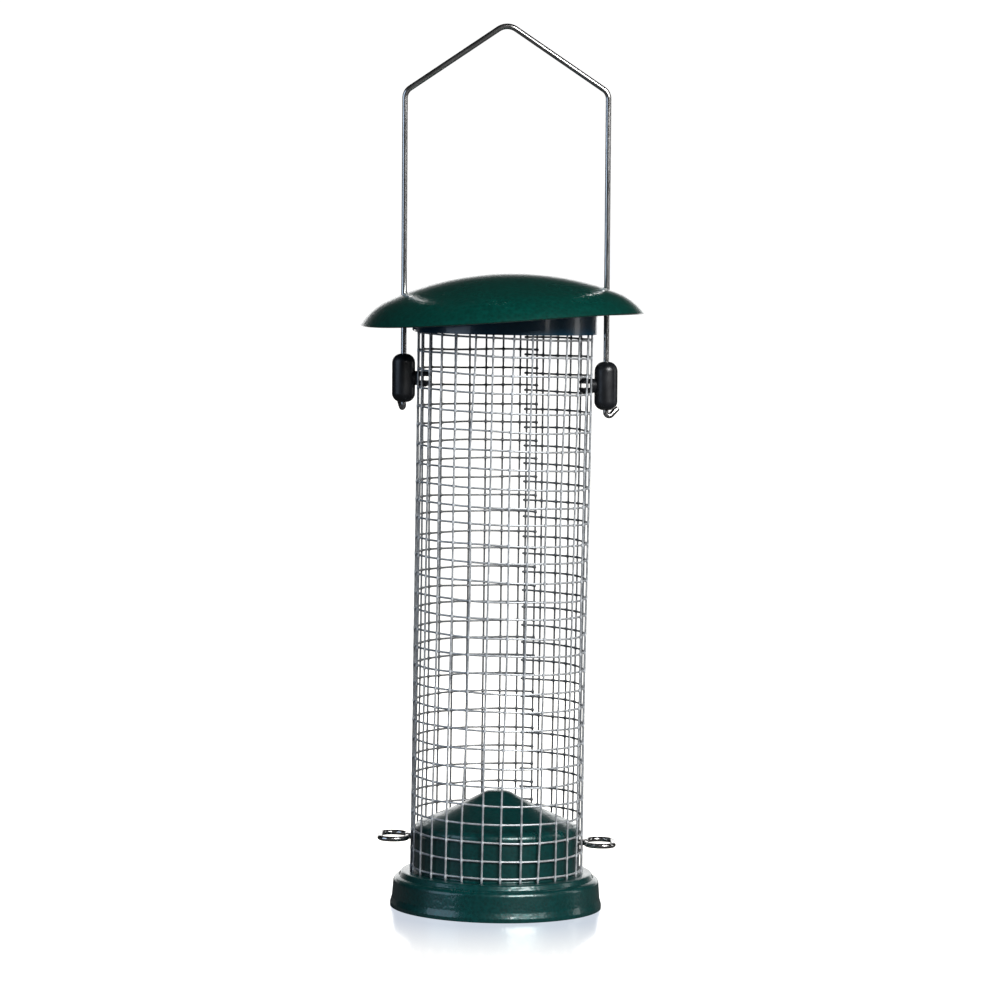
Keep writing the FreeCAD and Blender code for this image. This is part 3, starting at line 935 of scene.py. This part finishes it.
# Rounding of the snap head's corners, from its tip back to the capsule.
SNAP_HEAD_BENDS = np.array([0.25, 0.5, 0.2, 0.2, 0.1]) * MM


class FEEDER_OT_plugs(bpy.types.Operator):
    """Moulds the two pivot plugs: bored capsule, stem and split snap head"""
    bl_idname = "feeder.plugs"
    bl_label = "Pivot plugs"

    def execute(self, context):
        for side, sign in SIDES.items():
            piece = self.moulded(side, sign)
            hand_over(piece, "pivot_plug_" + side, "bail",
                      finish_of("plug_plastic"))
        return {"FINISHED"}

    @staticmethod
    def moulded(side, sign):
        """A capsule spun about the leg, and a stem and barb spun about X and split."""
        s, bail = bpy.context.scene.feeder_plugs, bpy.context.scene.feeder_bail
        low, high = PLUGS[side]
        middle = (low.z + high.z) / 2
        half = (high.z - low.z) / 2
        axis = bail.spread / 2
        bore = bail.wire / 2 + s.bore_clearance
        outline = bent_path([(bore, -half), (s.radius, -half), (s.radius, half), (bore, half)],
                            [s.end_round - s.end_difference, s.end_round])
        tilt = np.array(Matrix.Rotation(-bail.lean, 3, "Y"))
        wall = spun(outline, 96) @ tilt.T + [sign * axis, 0, middle]
        capsule = skin("capsule", wall, around=True)
        tip = min(abs(low.x), abs(high.x))
        root = axis - bore - s.root_wall
        back = tip + s.barb_length
        corners = [
            (0, tip),
            (s.tip_radius, tip),
            (s.barb_radius, back - s.barb_land),
            (s.barb_radius, back),
            (s.stem_radius, back),
            (s.stem_radius, root),
            (0, root),
        ]
        turned = spun(bent_path(corners, SNAP_HEAD_BENDS), 72)
        laid = np.stack([sign * turned[..., 2], turned[..., 1], turned[..., 0] + middle], axis=-1)
        stem = skin("stem", laid)
        reach = sorted([sign * (tip - s.slot_width), sign * (tip + s.slot_depth)])
        split = block("split", (reach[0], -2 * s.barb_radius, middle - s.slot_width / 2),
                      (reach[1], 2 * s.barb_radius, middle + s.slot_width / 2))
        combine(stem, "DIFFERENCE", [split])
        piece = combine(capsule, "UNION", [stem])
        piece.name = "plug_moulded_" + side
        return piece


# Studio


class FEEDER_OT_studio(bpy.types.Operator):
    """Sets the floor, the soft lights and the camera"""
    bl_idname = "feeder.studio"
    bl_label = "Studio"

    def execute(self, context):
        self.lay_floor()
        self.hang_lights()
        self.light_room(context.scene)
        self.stand_camera(context.scene)
        return {"FINISHED"}

    @staticmethod
    def lay_floor():
        """A large white sheet just under the feet, which is clear from below.

        It looks lit through, mirrors a little, and has a pool of painted shade round the feeder.
        """
        mesh = bpy.data.meshes.new("floor")
        reach, depth = 6.0, -0.05 * MM
        near, far = 0.045, 0.1
        mesh.from_pydata([(-reach, -reach, depth), (reach, -reach, depth), (reach, reach, depth),
                          (-reach, reach, depth)], [], [(0, 1, 2, 3)])
        floor = placed("floor", mesh)
        finish = bpy.data.materials.new("floor_sheet")
        finish.use_nodes = True
        tree = finish.node_tree
        tree.nodes.clear()
        place = add(tree, "TexCoord").outputs["Object"]
        away = add(tree, "VectorMath", {0: place}, operation="LENGTH").outputs["Value"]
        # Painted shade: the glow is bluish grey round the feeder and rises to white further out.
        share = span(tree, away, near, far, 0, 1)
        tint = blended(tree, share, (0.60, 0.64, 0.72, 1), (0.98, 0.98, 0.98, 1))
        glow_and_painted_shade = add(tree, "Emission", {"Color": tint, "Strength": 1.0})
        mirror = add(tree, "BsdfGlossy", {"Color": (0.52, 0.50, 0.45, 1), "Roughness": 0.14})
        bright = add(tree, "AddShader", {0: glow_and_painted_shade.outputs[0], 1: mirror.outputs[0]})
        dull = add(tree, "BsdfDiffuse", {"Color": (0.1, 0.1, 0.1, 1)})
        seen = add(tree, "LightPath").outputs["Is Camera Ray"]
        above = add(tree, "MixShader", {0: seen, 1: dull.outputs[0], 2: bright.outputs[0]})
        clear = add(tree, "BsdfTransparent")
        below = add(tree, "NewGeometry").outputs["Backfacing"]
        sheet = add(tree, "MixShader", {0: below, 1: above.outputs[0], 2: clear.outputs[0]})
        add(tree, "OutputMaterial", {"Surface": sheet.outputs[0]})
        mesh.materials.append(finish)

    @staticmethod
    def hang_lights():
        """A wide box and two strips on the right, a bluish fill on the left, a low card behind.

        Each lamp has its azimuth in degrees, its distance, height, width and length in metres,
        its power in watts and its tint, and faces the middle of the mesh.
        """
        white, cool = (1.0, 1.0, 1.0), (0.62, 0.78, 1.0)
        lamps = [
            ("main_box", 31, 1.3, 0.85, 0.78, 0.60, 30, white),
            ("strip_far", 53, 1.0, 0.55, 0.11, 0.80, 0.8, white),
            ("fill_left", -62, 1.2, 0.45, 0.80, 0.80, 4.0, cool),
            ("side_right", 100, 0.9, 0.25, 0.15, 0.9, 1.0, white),
            ("back_card", 180, 0.75, 0.17, 0.70, 0.34, 0.9, white),
        ]
        aim_height = 0.12
        for name, azimuth, distance, height, wide, tall, power, tint in lamps:
            light = bpy.data.lights.new(name, "AREA")
            light.shape = "RECTANGLE"
            light.size, light.size_y, light.energy = wide, tall, power
            light.color = tint
            lamp = placed(name, light)
            turn = math.radians(azimuth)
            lamp.location = (distance * math.sin(turn), -distance * math.cos(turn), height)
            drop = math.atan2(height - aim_height, distance)
            lamp.rotation_euler = (math.pi / 2 - drop, 0, turn)
            lamp.visible_camera = False

    @staticmethod
    def light_room(scene):
        """White where the camera looks, and a dim room with a paler front for everything else."""
        room = bpy.data.worlds.new("room")
        scene.world = room
        room.use_nodes = True
        tree = room.node_tree
        tree.nodes.clear()
        place = add(tree, "TexCoord").outputs["Generated"]
        sides = add(tree, "SeparateXYZ", {"Vector": place})
        ahead = span(tree, sides.outputs["Y"], -0.2, -1.0, 0.015, 0.05)
        low = span(tree, sides.outputs["Z"], 0.12, 0.3, 1, 0)
        behind = span(tree, sides.outputs["Y"], 0.75, 0.95, 0, 0.7)
        card = add(tree, "Math", {0: low, 1: behind}, operation="MULTIPLY").outputs[0]
        level = add(tree, "Math", {0: card, 1: ahead}, operation="ADD").outputs[0]
        walls = add(tree, "Background", {"Color": (1, 1, 1, 1), "Strength": level})
        white = add(tree, "Background", {"Color": (1, 1, 1, 1), "Strength": 1.05})
        seen = add(tree, "LightPath").outputs["Is Camera Ray"]
        mixed = add(tree, "MixShader", {0: seen, 1: walls.outputs[0], 2: white.outputs[0]})
        add(tree, "OutputWorld", {"Surface": mixed.outputs[0]})

    @staticmethod
    def stand_camera(scene):
        """A long lens in front, looking down a little and leaning to one side."""
        s = scene.feeder_studio
        camera = bpy.data.cameras.new("camera")
        camera.lens = s.lens
        camera.sensor_width = s.sensor
        camera.clip_end = 50
        stand = placed("camera", camera)
        place = Matrix.Translation((s.camera_side, -s.camera_distance, s.camera_height))
        look = Matrix.Rotation(math.pi / 2 - s.camera_pitch, 4, "X")
        stand.matrix_world = place @ look @ Matrix.Rotation(s.camera_roll, 4, "Z")
        scene.camera = stand
        scene.view_settings.view_transform = "Standard"


OPERATORS = [
    FEEDER_OT_base, FEEDER_OT_uprights, FEEDER_OT_hoops, FEEDER_OT_collar, FEEDER_OT_perches,
    FEEDER_OT_bail, FEEDER_OT_plugs, FEEDER_OT_roof, FEEDER_OT_studio,
]


class FEEDER_PT_pieces(bpy.types.Panel):
    """The feeder's pieces and their sizes"""
    bl_idname = "FEEDER_PT_pieces"
    bl_label = "Bird feeder"
    bl_space_type = "VIEW_3D"
    bl_region_type = "UI"
    bl_category = "Feeder"

    def draw(self, context):
        for operator in OPERATORS:
            self.layout.operator(operator.bl_idname)
        for key, group in GROUPS.items():
            box = self.layout.box()
            box.label(text=group.__name__)
            for name in group.__annotations__:
                label = name.replace("_", " ").capitalize()
                box.prop(getattr(context.scene, key), name, text=label)


def register():
    for kind in [*GROUPS.values(), *OPERATORS, FEEDER_PT_pieces]:
        bpy.utils.register_class(kind)
    for key, group in GROUPS.items():
        setattr(bpy.types.Scene, key, PointerProperty(type=group))


def unregister():
    for key in GROUPS:
        delattr(bpy.types.Scene, key)
    for kind in reversed([*GROUPS.values(), *OPERATORS, FEEDER_PT_pieces]):
        bpy.utils.unregister_class(kind)


def main():
    register()
    for operator in OPERATORS:
        group, name = operator.bl_idname.split(".")
        getattr(getattr(bpy.ops, group), name)()


if __name__ == "__main__":
    main()
